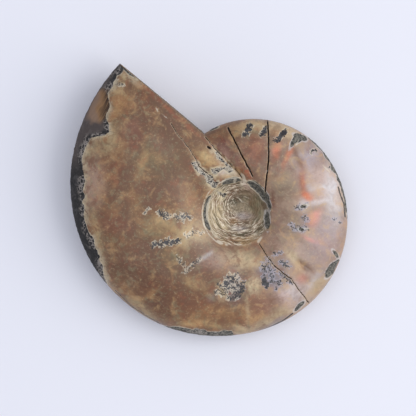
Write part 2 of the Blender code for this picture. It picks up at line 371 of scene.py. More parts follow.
CRYSTAL_SEAMS = (  # chain of points, half-width
    (((-9, 18.9), (-6, 15.5), (-3.2, 12.6)), 0.7),
    (((-8.6, 12.4), (-5.8, 13.2), (-3.8, 12.8)), 1.0),
    (((-15.6, 14.8), (-12.5, 11.6), (-8.8, 8)), 0.85),
    (((-7.2, 4.9), (-5.7, 4.2)), 1.0),
)
SUTURES = (  # middle x, middle y, half length, half width, turn, strokes, half-width of a stroke
    (-25.5, -2, 2.2, 1.0, -15, 14, 0.16),
    (-19.4, -2.6, 2.7, 1.0, -5, 13, 0.16),
    (-31, -0.7, 1.0, 0.6, 40, 3, 0.14),
    (-27.1, -11.8, 2.4, 1.0, 20, 15, 0.17),
    (-22.7, -10.4, 2.4, 1.1, 12, 16, 0.22),
    (-15.8, -8.5, 3.4, 1.0, 10, 8, 0.11),
    (-19.8, -17.6, 1.8, 0.4, -50, 6, 0.1),
    (-16, -18.8, 3.4, 0.35, 44, 10, 0.13),
    (-2.3, -25.8, 3.2, 5.4, -6, 70, 0.16),
    (-7, -26.9, 1.5, 2.4, 0, 15, 0.13),
    (9.8, -22.6, 4.8, 2.3, -58, 32, 0.14),
    (15, -23.2, 2.8, 0.6, -42, 14, 0.12),
    (8, -24.8, 1.5, 0.4, -58, 5, 0.4),
    (14.3, -18.3, 1.6, 0.9, -35, 7, 0.17),
    (2.3, 25.4, 2.3, 0.6, 58, 18, 0.24),
    (7.7, 25, 1.6, 0.5, 56, 12, 0.24),
    (13.2, 23.5, 2.6, 0.6, 50, 18, 0.24),
    (20.2, 0.5, 1.8, 0.8, 10, 7, 0.14),
    (20, -7, 2.2, 0.8, -6, 8, 0.14),
    (24.4, 18.6, 1.2, 0.4, 15, 4, 0.2),
    (30, 12.5, 1.0, 0.4, -50, 3, 0.22),
    (21.2, -3.5, 1.3, 0.8, -20, 7, 0.12),
    (18.7, 0, 1.0, 0.7, 0, 4, 0.1),
    (17, -6, 1.3, 0.9, -30, 6, 0.12),
    (30.8, -4.2, 0.8, 0.4, -20, 2, 0.14),
    (33, -5.1, 0.8, 0.3, -40, 2, 0.16),
    (12, -14.8, 1.6, 1.0, 0, 5, 0.1),
    (9.5, -17.5, 1.6, 0.5, -55, 5, 0.1),
    (-40.6, 41, 2.6, 0.5, -12, 8, 0.13),
)
STROKE_LENGTH = (0.7, 1.5)  # least and greatest, in a suture that is longer than SHORT_SUTURE
SHORT_SUTURE = 1.6
STROKE_SPREAD = 0.5  # how far a stroke may turn off its heading, in radians
STROKE_THICKNESS = (0.5, 1.0)  # as a share of the suture's
FRILL_STEP = 0.7  # between side branches
FRILL_LENGTH = 1.0
FRILL_SHARES = (0.3, 1.0)
FRILL_BEND = (0.7, 1.4)  # how far a branch turns off its stroke, in radians
FRILL_WIDTH = 0.4  # as a share of the stroke's
STROKES_REACH = 3.0  # beyond the suture's half length
RING_TAPER = 0.1  # how much a ring narrows with each degree past its ends
CALCITE_WINDOW = (-47.5, 33.4, 6, 5.4, 62)  # brown calcite shows in the bare edge here
FAR = -2.0  # field value well clear of a marking
LOWER_TURN = 150  # degrees
CUT_SLACK = 0.02  # keeps places on the mouth's cut in the last turn
UPPER_MESH = 0.6  # longest mesh edge on the upper side, the lower side, in the umbilicus and at markings
LOWER_MESH = 1.2
WELL_MESH = 0.32
FINE_MESH = 0.24
LOWER_FINE_MESH = 0.5
REFINING_STEPS = 3
TOO_LONG = 1.45  # an edge is cut in two when it is this many times the longest wanted
EDGE_BORDER = 0.3  # how far to both sides of a marking's border the mesh is fine
CRACK_BORDER = 0.5
SPOT_BORDER = 0.4
SEAM_BORDER = 0.2
WELL_BORDER = 1.5


def marked_place(points):
    """Where on the chart of markings each point lies: the lower side's are turned round the umbilicus."""
    turn = math.radians(LOWER_TURN)
    offset = points[:, :2] - WELL_MIDDLE
    turned = offset @ np.array(((math.cos(turn), math.sin(turn)), (-math.sin(turn), math.cos(turn))))
    return np.where(points[:, 2:] > 0.0, points[:, :2], turned + WELL_MIDDLE)


def distance_to_line(place, line):
    """Distance in plan from each place to a line through a chain of points."""
    nearest = np.full(len(place), np.inf)
    for start, end in zip(line[:-1], line[1:]):
        start = np.array(start)
        run = np.array(end) - start
        share = np.clip((place - start) @ run / (run @ run), 0.0, 1.0)
        nearest = np.minimum(nearest, np.hypot(*(place - start - share[:, None] * run).T))
    return nearest


def inside_spot(place, x, y, length, width, turn):
    """About how far each place is inside an ellipse, below 0 outside it."""
    cosine, sine = math.cos(math.radians(turn)), math.sin(math.radians(turn))
    along = ((place[:, 0] - x) * cosine + (place[:, 1] - y) * sine) / length
    across = ((place[:, 1] - y) * cosine - (place[:, 0] - x) * sine) / width
    return (1.0 - np.hypot(along, across)) * width


def inside_ring(place, radius, first, last, width):
    """How far each place is inside an arc round the umbilicus, which tapers at both ends."""
    offset = place - WELL_MIDDLE
    direction = np.degrees(np.arctan2(offset[:, 1], offset[:, 0])) % 360
    past_end = np.maximum(first - direction, direction - last)
    return width - np.abs(np.hypot(*offset.T) - radius) - np.maximum(past_end, 0.0) * RING_TAPER


def inside_bare_edge(place):
    """How far each place is inside the strip along the edge where the shell has worn off."""
    radius = np.maximum(np.hypot(*place.T), WELL_RADIUS)
    direction = np.arctan2(place[:, 1], place[:, 0])
    cut = cut_turn(radius)
    growth = cut - ((cut - TIP_ANGLE + direction + CUT_SLACK) % math.tau - CUT_SLACK)
    stops, widths = zip(*BARE_EDGE)
    width = np.interp(np.degrees(direction) % 360, stops, widths)
    return np.where(width > 0.0, width - (outline_radius(growth) - radius), FAR)


def frilled_strokes(suture, shuffle):
    """Strokes (start, end, half-width) of one suture: short lines with branches to both sides."""
    x, y, length, width, turn, count, thickness = suture
    axis = np.array((math.cos(math.radians(turn)), math.sin(math.radians(turn))))
    side = np.array((-axis[1], axis[0]))
    strokes = []
    for index in range(count):
        along = ((index + shuffle.random()) / count * 2.0 - 1.0) * length
        across = shuffle.uniform(-1.0, 1.0) * width * math.sqrt(max(0.0, 1.0 - (along / length) ** 2))
        middle = np.array((x, y)) + along * axis + across * side
        outward = along / length**2 * axis + across / width**2 * side
        heading = math.atan2(outward[1], outward[0]) + shuffle.uniform(-STROKE_SPREAD, STROKE_SPREAD)
        size = shuffle.uniform(*STROKE_LENGTH) * min(1.0, length / SHORT_SUTURE)
        half = 0.5 * size * np.array((math.cos(heading), math.sin(heading)))
        strokes.append((middle - half, middle + half, thickness * shuffle.uniform(*STROKE_THICKNESS)))
        for step in np.arange(0.0, 1.0, FRILL_STEP / size):
            for hand in (-1.0, 1.0):
                root = middle + half * (2.0 * step - 1.0)
                bend = heading + hand * shuffle.uniform(*FRILL_BEND)
                reach = FRILL_LENGTH * shuffle.uniform(*FRILL_SHARES)
                tip = root + reach * np.array((math.cos(bend), math.sin(bend)))
                strokes.append((root, tip, thickness * FRILL_WIDTH))
    return strokes


shuffle = np.random.default_rng(5)
GROWN_SUTURES = [(suture, frilled_strokes(suture, shuffle)) for suture in SUTURES]


def inside_sutures(place):
    """How far each place is inside a suture's strokes."""
    inside = np.full(len(place), FAR)
    for suture, strokes in GROWN_SUTURES:
        span = max(suture[2], suture[3]) + STROKES_REACH
        near = np.nonzero(np.abs(place - suture[:2]).max(axis=1) < span)[0]
        for start, end, width in strokes:
            inside[near] = np.maximum(inside[near], width - distance_to_line(place[near], (start, end)))
    return inside


def wanted_edge(middle):
    """How long a mesh edge may be at each place: short where there is small detail."""
    place = marked_place(middle)
    upper = middle[:, 2] > 0.0
    near = np.abs(inside_bare_edge(middle[:, :2])) < EDGE_BORDER
    for line, _, _ in CRACKS:
        near |= distance_to_line(place, line) < CRACK_BORDER
    for spot in BARE_SPOTS:
        near |= np.abs(inside_spot(place, *spot[:5])) < SPOT_BORDER
    for line, width in CRYSTAL_SEAMS:
        near |= distance_to_line(place, line) < width + SEAM_BORDER
    near |= inside_sutures(place) > -SEAM_BORDER
    in_umbilicus = np.hypot(*(place - WELL_MIDDLE).T) < WELL_RADIUS + WELL_BORDER
    size = np.where(upper, np.where(in_umbilicus, WELL_MESH, UPPER_MESH), LOWER_MESH)
    return np.where(near, np.where(upper, FINE_MESH, LOWER_FINE_MESH), size)


for _ in range(REFINING_STEPS):
    edges = list(form.edges)
    ends = np.array([(*edge.verts[0].co, *edge.verts[1].co) for edge in edges])
    lengths = np.linalg.norm(ends[:, :3] - ends[:, 3:], axis=1)
    long = np.nonzero(lengths > TOO_LONG * wanted_edge((ends[:, :3] + ends[:, 3:]) / 2.0))[0]
    bmesh.ops.subdivide_edges(form, edges=[edges[index] for index in long], cuts=1, use_grid_fill=True)
bmesh.ops.triangulate(form, faces=[face for face in form.faces if len(face.verts) > 4])
form.to_mesh(fossil.data)
form.free()

# ---------------------------------------------------------------------------------------------------------
# The relief. What has worn off or cracked lies lower than the polished shell round it, and some crystals
# stand proud of it. Borders are made ragged by smooth noise, read off a repeating lattice of random values.

LATTICE_SIZE = 48
LATTICE = np.random.default_rng(11).uniform(-1.0, 1.0, (LATTICE_SIZE, LATTICE_SIZE, LATTICE_SIZE))
LAYER_SHIFT = 7.3  # between one layer of the noise and the next, so that their lumps don't line up
RAGGED_HEIGHT = 0.3  # waves in the markings' borders
RAGGED_SIZE = 1.8
EDGE_RAGGED = 1.6  # shares of the waves that each kind of marking takes
SPOT_RAGGED = 0.5
RING_RAGGED = 0.6
PALE_RAGGED = 0.4
SEAM_RAGGED = 2.0
WANDER = 0.12  # how far cracks and sutures stray sideways
WANDER_SIZE = 1.5
SUTURE_WANDER = 0.4
EDGE_DEPTH = 0.35
WORN_STEP = (-0.05, 0.3)  # where the step down into bare rock begins and ends, across its border
CRACK_LIP = -0.12  # a crack starts to sink this far outside its width
UPRIGHT = (0.1, 0.6)  # relief grows in as the surface turns to face up or down by these shares
CRYSTAL_SIZE = 0.75
CRYSTAL_CROWDING = 1.3  # crystals in a square of that size
SEAM_LUMPS = 0.35
CRYSTAL_MARGIN = -0.3


def grain(places, size, layers=3):
    """Smooth noise whose largest lumps are about as wide as the size."""
    total = np.zeros(len(places))
    for layer in range(layers):
        share = 0.5**layer
        at = places / (size * share) + LAYER_SHIFT * layer
        cell = np.floor(at).astype(int)
        part = at - cell
        part = part * part * (3.0 - 2.0 * part)
        for corner in np.ndindex(2, 2, 2):
            weight = np.prod(np.where(corner, part, 1.0 - part), axis=1)
            total += share * weight * LATTICE[tuple(((cell + corner) % LATTICE_SIZE).T)]
    return total


def smooth(value, low, high):
    """0 below the low value, 1 above the high one, and a smooth step between."""
    part = np.clip((value - low) / (high - low), 0.0, 1.0)
    return part * part * (3.0 - 2.0 * part)


def read_mesh(owner, name, kind=float, width=1):
    """One property of the mesh's points, faces or corners, as an array of rows."""
    values = np.zeros(len(owner) * width, kind)
    owner.foreach_get(name, values)
    return values.reshape(-1, width) if width > 1 else values


count = len(fossil.data.vertices)
points = read_mesh(fossil.data.vertices, "co", width=3)
normals = read_mesh(fossil.data.vertices, "normal", width=3)
place = marked_place(points)
face_is_mouth = read_mesh(fossil.data.attributes["mouth"].data, "value", int)
face_sizes = read_mesh(fossil.data.polygons, "loop_total", int)
corner_points = read_mesh(fossil.data.loops, "vertex_index", int)
on_shell = np.zeros(count, bool)
on_shell[corner_points[np.repeat(face_is_mouth, face_sizes) == 0]] = True


def shell_only(inside):
    """A marking's field, kept off the mouth's face."""
    return np.where(on_shell, inside, FAR)


ragged = RAGGED_HEIGHT * grain(points, RAGGED_SIZE)
wander = WANDER * grain(points, WANDER_SIZE)
upright = smooth(np.abs(normals[:, 2]), *UPRIGHT)
bare = shell_only(inside_bare_edge(points[:, :2]) + EDGE_RAGGED * ragged)
bare_depth = EDGE_DEPTH * smooth(bare, *WORN_STEP) * upright
for *spot, depth in BARE_SPOTS:
    inside = shell_only(inside_spot(place, *spot) + SPOT_RAGGED * ragged)
    bare = np.maximum(bare, inside)
    bare_depth = np.maximum(bare_depth, depth * smooth(inside, *WORN_STEP))
for ring in BARE_RINGS:
    inside = shell_only(inside_ring(place, *ring) + RING_RAGGED * ragged)
    bare = np.maximum(bare, inside)
    bare_depth = np.maximum(bare_depth, BARE_RING_DEPTH * smooth(inside, *WORN_STEP))
crack = np.full(count, FAR)
crack_depth = np.zeros(count)
for line, width, depth in CRACKS:
    inside = shell_only(width - distance_to_line(place + wander[:, None], line))
    crack = np.maximum(crack, inside)
    crack_depth = np.maximum(crack_depth, depth * smooth(inside, CRACK_LIP, width))
suture = shell_only(inside_sutures(place + SUTURE_WANDER * wander[:, None]))
pale = np.full(count, FAR)
for ring in PALE_RINGS:
    pale = np.maximum(pale, shell_only(inside_ring(place, *ring) + PALE_RAGGED * ragged))
for pale_chip_and_highlight in PALE_CHIPS_AND_HIGHLIGHTS:
    pale = np.maximum(pale, shell_only(inside_spot(place, *pale_chip_and_highlight) + PALE_RAGGED * ragged))

# The crystals are cells round scattered middles, some proud of the seam and some sunk in it
seam = np.full(count, FAR)
for line, width in CRYSTAL_SEAMS:
    seam = np.maximum(seam, shell_only(width - distance_to_line(place, line) + SEAM_RAGGED * ragged))
seam += SEAM_LUMPS * grain(points, 1.0, 2)
near = np.nonzero(seam > CRYSTAL_MARGIN)[0]
low = place[near].min(axis=0) - CRYSTAL_SIZE
high = place[near].max(axis=0) + CRYSTAL_SIZE
shuffle = np.random.default_rng(3)
crystal_count = int(CRYSTAL_CROWDING * np.prod(high - low) / CRYSTAL_SIZE**2)
middles = shuffle.uniform(low, high, (crystal_count, 2))
tones = shuffle.uniform(0.0, 1.0, len(middles))
gaps = np.hypot(place[near, None, 0] - middles[:, 0], place[near, None, 1] - middles[:, 1])
order = np.argsort(gaps, axis=1)[:, :2]
closest = np.take_along_axis(gaps, order, axis=1)
facet = np.zeros(count)
facet[near] = (closest[:, 1] - closest[:, 0]) / 2.0
tone = np.zeros(count)
tone[near] = tones[order[:, 0]]

# The umbilicus carries the worn inner turns: flaky striations drawn out along a spiral
SPIRAL_MIDDLE = (-0.5, 0.4)
SPIRAL_WAVES = ((0.5, 4.0), (0.08, 1.2))  # height and size
FLAKE_WIDTH = 0.42
FLAKES_ROUND = 2.2  # radius of the circle in the noise that one turn of flakes follows
FLAKE_RIDGES = (1.1, 0.5)  # shares of the flakes, and of small lumps among them
WELL_STEP = (-0.2, 0.8)  # how far inside the umbilicus's rim its flakes begin and are full
INNER_WHORL = (  # the groove between the two innermost turns that still show
    (-4.7, 3.3), (-1, 5), (2.7, 4.8), (6, 3), (8, 0.3), (8.3, -2.7), (7.3, -5.7), (5, -8), (1.3, -9.3),
    (-3, -9.3), (-6.7, -7.7), (-8.3, -4),
)
GROOVE_WIDTH = 0.8
SHADED_MIDDLE = (3.5, 1)  # the umbilicus is browner here, partly as painted shade on its bowl's shaded side
SHADED_REACH = (4.0, 8.5)
FLAKE_HEIGHT = 0.05
GROOVE_DEPTH = 0.35
ROCK_HEIGHT = 0.07  # lumps in bare rock
ROCK_SIZE = 0.9
CRYSTAL_HEIGHT = 0.16
SUNK_CRYSTALS = 0.45  # share of them below the seam's surface
SHELL_HEIGHT = 0.02  # faint lumps all over
SHELL_SIZE = 3.0

well_distance = np.hypot(*(place - WELL_MIDDLE).T)
in_well = np.where(on_shell, smooth(WELL_RADIUS - well_distance, *WELL_STEP), 0.0)
from_middle = place - SPIRAL_MIDDLE
turn_angle = np.arctan2(from_middle[:, 1], from_middle[:, 0])
spiral = np.hypot(*from_middle.T)
for height, size in SPIRAL_WAVES:
    spiral = spiral + height * grain(points, size)
round_x = FLAKES_ROUND * np.cos(turn_angle)
round_y = FLAKES_ROUND * np.sin(turn_angle)
drawn_out = np.column_stack((spiral / FLAKE_WIDTH, round_x, round_y))
groove_gap = GROOVE_WIDTH - distance_to_line(place + wander[:, None], INNER_WHORL)
whorl_groove = in_well * smooth(groove_gap, 0.0, GROOVE_WIDTH)
ridges = FLAKE_RIDGES[0] * grain(drawn_out, 1.0) + FLAKE_RIDGES[1] * grain(points, 0.7, 2)

lift = -bare_depth - crack_depth
lift += ROCK_HEIGHT * grain(points, ROCK_SIZE) * smooth(bare, 0.0, 0.4)
lift += FLAKE_HEIGHT * in_well * ridges
lift -= GROOVE_DEPTH * whorl_groove
lift -= FURROW_DEPTH * np.where(on_shell, smooth(inside_spot(place, *FURROW), 0.0, FURROW[3]), 0.0)
lift += CRYSTAL_HEIGHT * smooth(facet, 0.0, 0.25) * smooth(seam, -0.2, 0.3) * (tone - SUNK_CRYSTALS)
lift += SHELL_HEIGHT * grain(points, SHELL_SIZE) * upright
shaped = points + normals * np.where(on_shell, lift, 0.0)[:, None]

# ---------------------------------------------------------------------------------------------------------
# The colour of the stone. Iron and mud in the water stained the calcite in soft patches as it grew. Each
# patch is laid over the ground colour, and the material breaks it up into veins and flecks.

# Most patches are stains; those that are painted light or shade say so where they lie.
PAINTS = {
    "flank": "6f4b2d", "dusk": "68432b", "rust": "834a31", "tan": "a67d4e", "sand": "b7a17b",
    "olive": "7a7050",
    "rose": "a0766a", "pale_rose": "bca095", "lavender": "a0979f", "cream": "c8b38c", "orange": "cc6a3f",
    "salmon": "d5806c", "slate": "6d6f7c", "stain": "62311f", "blond": "c0a371", "pale_mist_and_sheen": "c9c4c4",
    "worn": "8c7d66", "moss": "554f31", "umber": "5e3b1c", "deep_moss": "383420", "warm_grey": "9c8270",
    "ash": "84797b",
}
FLANK_PATCHES = (  # paint, middle x, middle y, half length, half width, turn, strength
    ("tan", -40, 34, 4.5, 2.5, 70, 0.8),
    ("sand", -38.5, 41.5, 2.6, 1.5, 60, 0.85),
    ("cream", -37.5, 43.4, 3.2, 1.2, -25, 0.8),
    ("cream", -40.6, 38.8, 3, 0.9, -10, 0.6),
    ("rust", -33, 34, 5, 2.5, -50, 0.5),
    ("rose", -36, 26, 3, 2, 60, 0.4),
    ("rust", -35, 23, 4, 3, -60, 0.75),
    ("sand", -42, 22, 4.5, 2.4, 70, 0.85),
    ("sand", -48, 19, 4, 2, 40, 0.7),
    ("olive", -29, 18, 5, 4, 20, 0.65),
    ("warm_grey", -26, 21, 5, 2.5, -50, 0.4),
    ("blond", -33, 14, 3, 1.5, 80, 0.4),
    ("olive", -27, -6.2, 6, 3, 0, 0.85),
    ("olive", -24, -18, 6, 4, -20, 0.35),
    ("moss", -26, -7, 4, 1.6, 0, 0.45),
    ("moss", -22.5, -14, 3.5, 1.2, -10, 0.4),
    ("olive", -24, 14, 6, 3.5, 60, 0.4),
    ("pale_rose", -48.5, 8, 8, 3, 86, 0.65),
    ("rust", -42, 12, 5, 3, 90, 0.55),
    ("tan", -34.5, 4, 7, 2, 88, 0.55),
    ("rust", -41.5, -5.5, 5.5, 2.8, 0, 0.7),
    ("tan", -39, -12.5, 5, 2.3, -10, 0.6),
    ("rose", -35, -18, 6, 2.5, -15, 0.4),
    ("dusk", -30, -28.5, 6, 5, -40, 0.85),
    ("rust", -31, -26, 3.5, 3, 0, 0.5),
    ("tan", -39.5, -26, 4, 2.5, -45, 0.5),
    ("dusk", -33, -21, 10, 7, -45, 0.45),
    ("umber", -33, -24, 13, 9, -45, 0.5),
    ("sand", -47, -10, 8, 1.3, -78, 0.7),
    ("sand", -33, -34, 6, 1.8, -38, 0.75),
    ("cream", -16.3, -9, 6, 4.4, 20, 0.75),
    ("blond", -18, -7, 4, 1.8, 0, 0.5),
    ("cream", -25, -4, 3.5, 1.6, 0, 0.4),
    ("olive", -20, -15.5, 4, 2, -10, 0.4),
    ("blond", -12, 17, 3.6, 2.3, -57, 0.9),
    ("blond", -8.5, 15, 3, 1.6, -50, 0.6),
    ("tan", -17, 2, 7, 4, 90, 0.5),
    ("warm_grey", -21, 7, 4, 3, 30, 0.35),
    ("pale_rose", -8, -17.5, 7, 3.2, 0, 0.35),
    ("blond", -15, -24.5, 4, 1.6, -20, 0.6),
    ("slate", -9.5, -29, 1.6, 1.8, 0, 0.45),
    ("rust", -15, -32, 7, 4, 0, 0.35),
    ("rose", -6, 18, 4, 3, -60, 0.5),
    ("stain", -5, 20.8, 3.4, 0.9, -54, 0.95),
    ("stain", -0.6, 15.6, 5, 0.5, -52, 0.7),
    ("pale_mist_and_sheen", -5, 12, 3.2, 1.3, 0, 0.7),
    ("pale_mist_and_sheen", -12, -16, 2.4, 0.8, 42, 0.85),
    ("orange", -26, 34.6, 16, 0.7, -39.5, 0.3),
    ("blond", -12, -39, 10, 1.2, -5, 0.5),
    ("tan", -8, -36, 9, 4, 0, 0.4),
    ("cream", 0, -41.3, 3.2, 1.5, 0, 0.7),
    ("sand", 12, -37, 9, 2, 27, 0.8),
    ("cream", -5, 10.6, 4.5, 1.2, 15, 0.7),
    ("cream", -10.5, 7.5, 3, 1.6, -50, 0.6),
)
RIGHT_PATCHES = (
    ("slate", -2.2, -25.8, 5, 3, 84, 0.75),
    ("cream", -6.6, -28, 3, 1.6, 90, 0.6),
    ("cream", 4, -26, 2.6, 2.4, 0, 0.95),
    ("sand", 2.2, -33, 4.5, 0.7, 90, 0.6),
    ("rust", 7, -33, 4, 3.5, 20, 0.4),
    ("slate", 9.8, -22.8, 4.8, 2.6, -56, 0.9),
    ("slate", 15, -19.2, 3, 1.8, -42, 0.6),
    ("pale_rose", 16, -29.5, 4.5, 3.2, -40, 0.9),
    ("pale_mist_and_sheen", 18, -28, 5, 3.5, -45, 0.5),
    ("cream", 18, -17, 4, 1.2, -43, 0.75),
    ("pale_mist_and_sheen", 25, -24, 4, 1.5, 50, 0.5),
    # Partly painted shade: the dark brown laid in the healed bite's hollow
    ("dusk", 21.2, -19.5, 3, 0.9, -38, 0.95),
    ("salmon", 20.3, -23.6, 2, 1.6, 30, 0.4),
    ("salmon", 24.4, -3.5, 2.8, 1.7, 70, 0.75),
    ("salmon", 24.3, -10.6, 3, 0.8, -25, 0.85),
    ("lavender", 29, -8, 6, 4, 90, 0.5),
    ("ash", 27, -13, 6, 5, 60, 0.65),
    ("sand", 27, -26, 5, 2, 45, 0.6),
    ("pale_mist_and_sheen", 20.4, 1, 2.4, 1.4, 0, 0.6),
    ("pale_mist_and_sheen", 26, 2.2, 4, 0.8, 8, 0.75),
    ("slate", 19.5, -6.8, 3.2, 1.3, 0, 0.55),
    ("slate", 21.2, -3.6, 1.6, 1.1, 0, 0.4),
    ("cream", 5, 27, 6, 2, -5, 0.6),
    ("olive", 3.5, 25, 6, 1.8, -5, 0.5),
    ("cream", 15, 25, 6, 2.5, -35, 0.6),
    ("rust", 4.5, 18.5, 4, 3, 90, 0.45),
    ("rust", 2, 12, 3.4, 0.9, -48, 0.85),
    ("olive", 14, 7, 5, 4, 90, 0.4),
    ("olive", 16.5, -5, 6, 2.5, 90, 0.35),
    ("lavender", 23, 16, 5, 4, 60, 0.7),
    ("pale_rose", 27, 8, 6, 5, 60, 0.7),
    ("pale_mist_and_sheen", 27.6, 7, 5, 0.9, 2, 0.7),
    ("sand", 1, -17, 7, 3, -10, 0.7),
    ("cream", 2, -17, 5, 2.4, -10, 0.35),
    ("rose", 28, -13, 6, 4, 90, 0.3),
    # Painted highlight: a pale sheen along the far right edge, where the softbox shines on the polish
    ("pale_mist_and_sheen", 31, 5, 8, 3.2, 95, 0.8),
    ("ash", 12.5, -38.4, 5, 0.9, 27, 0.6),
    ("orange", 5, 19.5, 3, 2, 90, 0.3),
    ("orange", 11.2, 18.6, 3.6, 1.2, 78, 0.6),
    ("orange", 15.4, 17, 3.8, 1.0, 66, 0.6),
    ("dusk", 19.2, 16, 4.2, 1.1, 114, 0.9),
    ("rust", 20.2, 8.5, 4.5, 1.4, 94, 0.85),
    ("orange", 20.8, 8, 3, 0.9, 94, 0.35),
    ("orange", 21.6, 3.8, 1.6, 1.4, 0, 0.85),
    ("orange", 2.8, 11.5, 1.6, 0.7, -52, 0.4),
    ("stain", 10.6, 2.6, 2.6, 0.6, 100, 0.8),
)
WELL_PATCHES = (
    ("cream", -8, 0, 5.5, 2.2, 90, 0.75),
    ("cream", -6.6, -6.4, 3.6, 2.2, -45, 0.65),
    ("deep_moss", -1.4, 2.4, 2.8, 1.6, 20, 1.0),
    # Partly painted shade: the moss right of the middle darkens the bowl's shaded side
    ("moss", 4.7, 1, 3.8, 2.3, -60, 0.85),
    ("moss", 6, -3, 3, 1.2, 90, 0.5),
    ("deep_moss", 0, -8.8, 4.4, 0.5, 5, 0.7),
    ("moss", -3.5, 9, 3.2, 1.2, 25, 0.9),
    ("tan", 0, -11, 6, 1.3, 0, 0.6),
    ("tan", -2, -4.5, 1.6, 1, 0, 0.7),
    ("lavender", 1, -3.4, 2.8, 1.2, 0, 0.5),
    ("pale_mist_and_sheen", -0.5, -7, 2.4, 0.9, 0, 0.6),
    ("pale_rose", 2, 8, 2.6, 1.2, -60, 0.6),
)
PATCH_FALL = 0.8  # how a patch fades: how fast, and how late
PATCH_POWER = 2.6
DRIFT_SIZE = 5.0  # lumps in the patches' borders
DRIFT_SHIFT = 31.0
FLANK_LOOSENESS = 0.9
WELL_LOOSENESS = 0.35
GREYING = 0.85  # the shell turns warm grey towards the right, between these places across
GREYING_SPAN = (-4.0, 20.0)
STREAKS_PER_TURN = 14.0  # growth lines, in each radian of growth
STREAK_BENDING = 0.12
STREAK_STRENGTH = (0.05, 0.07)  # everywhere, and added on the right
STREAK_SPAN = (-6.0, 12.0)
LEFT_SHADE_SPAN = (0.0, 30.0)  # places left of the axis, over which the painted shade grows in
LEFT_PAINTED_SHADE = (0.19, 0.24, 0.35)  # painted shade: how much of the red, green and blue is taken off at the left
GROOVE_SHADE = 0.6  # painted shade: the inner groove's moss is this share as bright as its paint
GROOVE_MOSS = 0.6  # how strongly it is laid on
FLAKE_SHADING = 0.2
FLAKE_SHADES = (0.5, 1.5)  # darkest and lightest share
WINDOW_RAGGED = 2.5
WINDOW_STEP = (-0.5, 1.3)
WINDOW_TILT_RAGGED = 0.5
WINDOW_UPRIGHT = (0.05, 0.5)  # the calcite shows from above alone
BLEACHED_AND_LIT_SHARES = (0.1, 0.9)  # everywhere in the umbilicus, and added outside its shaded middle as painted light


def linear(code):
    """The red, green and blue that Blender takes, from a colour's usual six-digit code."""
    parts = [int(code[start : start + 2], 16) / 255.0 for start in (0, 2, 4)]
    return np.array([part / 12.92 if part <= 0.04045 else ((part + 0.055) / 1.055) ** 2.4 for part in parts])


def lay(under, over, amount):
    """A colour laid over another, by an amount at each point."""
    return under * (1.0 - amount[:, None]) + over * amount[:, None]


drift = np.column_stack((grain(points, DRIFT_SIZE), grain(points + DRIFT_SHIFT, DRIFT_SIZE)))


def daub(under, patches, looseness):
    """Soft patches laid over a colour, their borders made uneven by the looseness."""
    moved = place + looseness * drift
    for paint, x, y, length, width, turn, strength in patches:
        off_middle = 1.0 - inside_spot(moved, x, y, length, width, turn) / width
        amount = np.where(on_shell, strength * np.exp(-PATCH_FALL * off_middle**PATCH_POWER), 0.0)
        under = lay(under, linear(PAINTS[paint]), amount)
    return under


tint = np.tile(linear(PAINTS["flank"]), (count, 1))
tint = lay(tint, linear(PAINTS["warm_grey"]), GREYING * smooth(points[:, 0], *GREYING_SPAN))
tint = daub(tint, FLANK_PATCHES + RIGHT_PATCHES, FLANK_LOOSENESS)
growth = read_mesh(fossil.data.attributes["growth"].data, "value")
growth_lines = np.column_stack((growth * STREAKS_PER_TURN, well_distance * STREAK_BENDING, 0.0 * growth))
streaky = STREAK_STRENGTH[0] + STREAK_STRENGTH[1] * smooth(points[:, 0], *STREAK_SPAN)
tint = tint * (1.0 + streaky * grain(growth_lines, 1.0))[:, None]
# Painted shade: the shell darker and warmer towards the left, away from the softbox
tint = tint * (1.0 - np.outer(smooth(-points[:, 0], *LEFT_SHADE_SPAN), LEFT_PAINTED_SHADE))
worn = daub(np.tile(linear(PAINTS["worn"]), (count, 1)), WELL_PATCHES, WELL_LOOSENESS)
worn = lay(worn, linear(PAINTS["moss"]) * GROOVE_SHADE, GROOVE_MOSS * whorl_groove)
flake_shade = np.clip(1.0 + FLAKE_SHADING * ridges, *FLAKE_SHADES)
tint = lay(tint, worn * flake_shade[:, None], in_well)
colours = np.column_stack((np.clip(tint, 0.0, 1.0), np.ones(count)))
window = smooth(inside_spot(points[:, :2], *CALCITE_WINDOW) + WINDOW_RAGGED * ragged, *WINDOW_STEP)
window_tilt = smooth(normals[:, 2] + WINDOW_TILT_RAGGED * ragged, *WINDOW_UPRIGHT)
window *= np.where(on_shell, window_tilt, 0.0)
# Painted light and shade in the umbilicus's bowl: flakes paler on its lit side, browner in its shaded middle
off_shaded_middle = smooth(np.hypot(*(place - SHADED_MIDDLE).T), *SHADED_REACH)
bleached_and_lit = in_well * (BLEACHED_AND_LIT_SHARES[0] + BLEACHED_AND_LIT_SHARES[1] * off_shaded_middle)
fields = {
    "bare": bare,
    "crack": crack,
    "suture": suture,
    "pale": pale,
    "calcite": window,
    "seam": seam,
    "umbilicus": in_well,
    "bleached_and_lit": bleached_and_lit,
    "mouth_face": np.where(on_shell, 0.0, 1.0),
}


def keep_on_mesh(name, kind, part, values):
    """Values at the mesh's points, which the material reads by their name."""
    fossil.data.attributes.new(name, kind, "POINT").data.foreach_set(part, values.ravel())


keep_on_mesh("tint", "FLOAT_COLOR", "color", colours)
keep_on_mesh("drawn_out", "FLOAT_VECTOR", "vector", drawn_out)
for name, values in fields.items():
    keep_on_mesh(name, "FLOAT", "value", np.maximum(values, FAR))

# Leaned into its resting pose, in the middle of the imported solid's box, with its low side ground flat
LEAN = np.array(Euler((math.radians(4.54), math.radians(1.38), 0.0)).to_matrix())
FLAT_DEPTH = 0.35
MILLIMETRE = 0.001
SOFT_ANGLE = 50  # degrees between faces, up to which the shading is smooth

